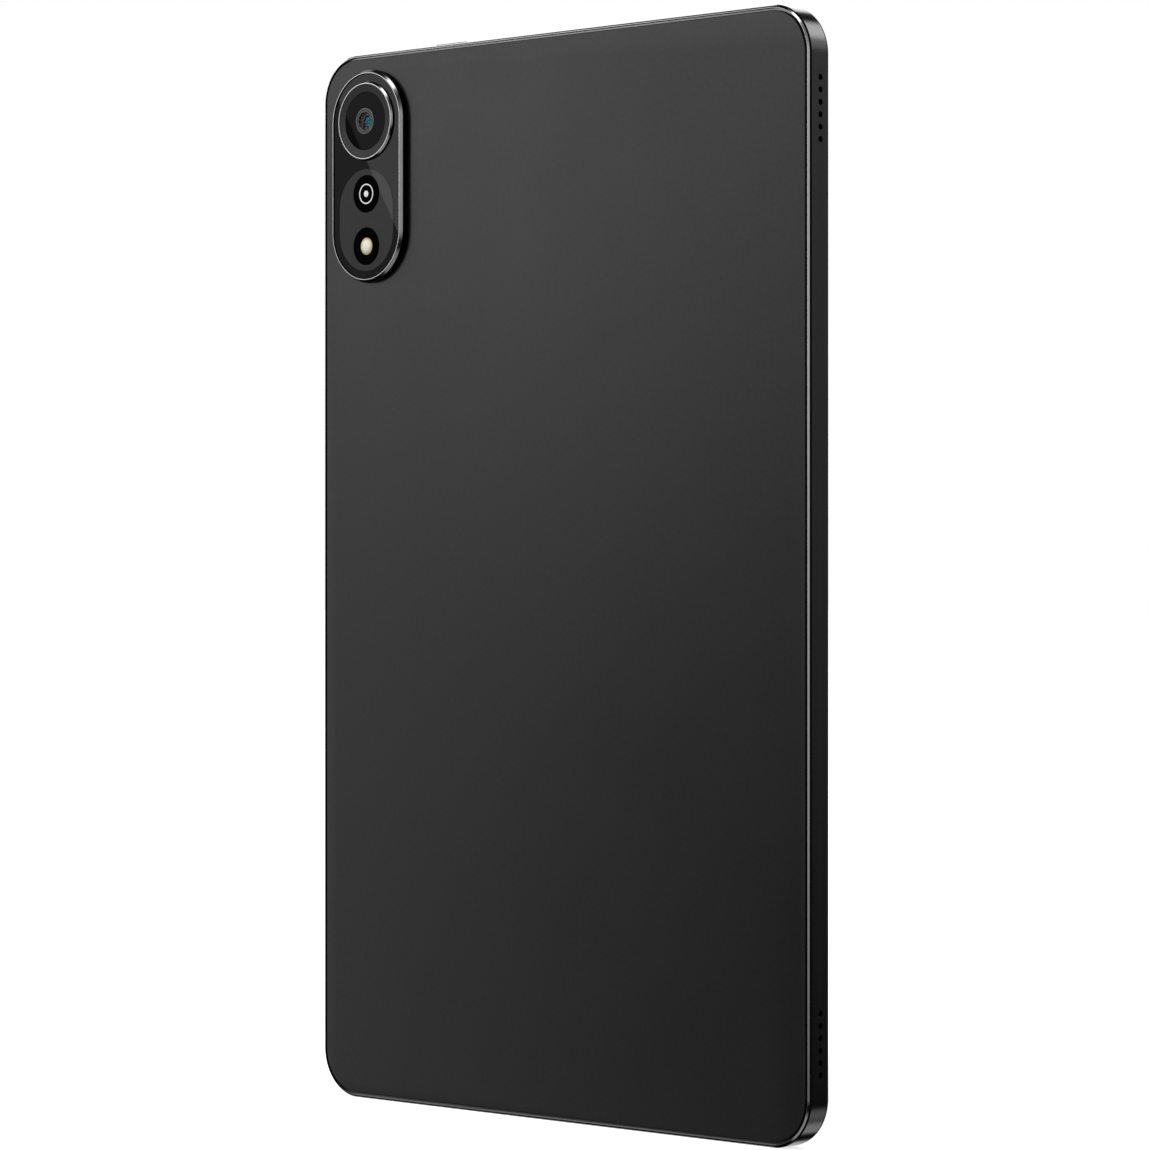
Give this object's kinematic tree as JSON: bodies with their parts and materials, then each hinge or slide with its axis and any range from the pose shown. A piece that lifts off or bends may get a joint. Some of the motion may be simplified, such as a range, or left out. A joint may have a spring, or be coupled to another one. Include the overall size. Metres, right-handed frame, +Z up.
{
  "type": "tablet computer",
  "caption": "Slim flat tablet computer in a dark metal body with a raised capsule camera island, edge keys, speaker holes, a card tray and a charging port.",
  "frame": {"origin": "middle of the bounding box at the level of the short edge that it stands on", "axes": "+Z up the long side, +Y out of the rear face, -Y out of the screen, +X towards the side with the camera island"},
  "size_m": [0.1736, 0.0098, 0.2785],
  "materials": {
    "frame_metal": "anodised dark graphite with a polished rear bevel",
    "cover_metal": "fine bead-blasted, anodised dark grey",
    "bezel_plastic": "satin",
    "front_glass": "polished, black printed border",
    "display_glass": "polarised, switched off",
    "backlight_plastic": "white",
    "black_tape": "matt adhesive tape",
    "clear_tape": "stretch-release adhesive tape",
    "flex_film": "copper under amber film",
    "sheet_metal": "bare rolled sheet",
    "screw_steel": "plated",
    "circuit_board": "solder resist",
    "shield_metal": "tinned",
    "battery_pouch": "laminated pouch film",
    "graphite": "graphite film",
    "port_metal": "stainless shell",
    "black_rubber": "soft",
    "moulded_black": "glass-filled, matt",
    "driver_metal": "dark, with a film cone",
    "mesh_cloth": "woven dust mesh",
    "key_metal": "anodised dark graphite",
    "island_metal": "dark side, polished bevel",
    "island_glass": "tinted, coated behind",
    "panel_film": "dark grey, satin under gloss",
    "ring_metal": "polished",
    "lens_band": "satin dark grey",
    "window_glass": "black, coated",
    "lens_glass": "blue-green coating",
    "flash_plastic": "clear, pale yellow source behind",
    "flash_source": "phosphor",
    "sensor_plastic": "clear",
    "cable_sheath": "thin sheath",
    "capsule_metal": "gold flash"
  },
  "bodies": {
    "chassis": {"mid_frame": "frame_metal", "rear_cover": "cover_metal", "rear_cover_tape": "black_tape", "graphite_sheet": "graphite", "front_bezel": "bezel_plastic", "front_glass": "front_glass", "lcd_panel": "display_glass", "backlight_unit": "backlight_plastic", "display_tape": "black_tape", "display_flex": "flex_film", "mid_plate": "sheet_metal", "mid_plate_screws": "screw_steel", "mainboard": "circuit_board", "processor_shield": "shield_metal", "power_shield": "shield_metal", "mainboard_screws": "screw_steel", "battery_cell_left": "battery_pouch", "battery_cell_right": "battery_pouch", "battery_protection_board": "circuit_board", "battery_lead": "flex_film", "battery_tape": "clear_tape", "board_link_flex": "flex_film", "sub_board": "circuit_board", "sub_board_screws": "screw_steel", "usb_c_receptacle": "port_metal", "card_socket": "shield_metal", "upper_speaker_box": "moulded_black", "lower_speaker_box": "moulded_black", "upper_speaker_driver": "driver_metal", "lower_speaker_driver": "driver_metal", "speaker_screws": "screw_steel", "speaker_mesh": "mesh_cloth", "power_switch": "shield_metal", "volume_switches": "shield_metal", "key_bracket": "sheet_metal", "rear_camera_module": "moulded_black", "camera_island_frame": "island_metal", "camera_island_carrier": "moulded_black", "camera_cover_glass": "island_glass", "camera_decor_panel": "panel_film", "camera_lens_ring": "ring_metal", "camera_lens_bezel": "lens_band", "camera_window": "window_glass", "lens_trim_ring": "lens_band", "auxiliary_window": "window_glass", "flash_window": "window_glass", "flash_lens": "flash_plastic", "flash_board": "flash_source", "front_camera_module": "moulded_black", "light_sensor": "sensor_plastic", "antenna_cable": "cable_sheath", "wifi_antenna": "flex_film", "microphones": "capsule_metal"},
    "power_button": {"power_key": "key_metal"},
    "volume_rocker": {"volume_key": "key_metal"},
    "tray": {"card_tray": "key_metal", "tray_seal": "black_rubber"},
    "focus_barrel": {"rear_lens_barrel": "moulded_black", "rear_lens_glass": "lens_glass"}
  },
  "joints": [
    {"name": "power_press", "type": "slide", "parent": "chassis", "child": "power_button", "axis": [0, 0, -1], "range_m": [0, 0.00025], "stiffness_N_per_m": 1500},
    {"name": "volume_tilt", "type": "hinge", "parent": "chassis", "child": "volume_rocker", "pos_m": [0.08405, -0.00102, 0.216], "axis": [0, 1, 0], "range_deg": [-1, 1], "stiffness_Nm_per_rad": 1.1},
    {"name": "tray_slide", "type": "slide", "parent": "chassis", "child": "tray", "axis": [1, 0, 0], "range_m": [0, 0.024]},
    {"name": "lens_focus", "type": "slide", "parent": "chassis", "child": "focus_barrel", "axis": [0, 1, 0], "range_m": [0, 0.00025], "stiffness_N_per_m": 60}
  ]
}
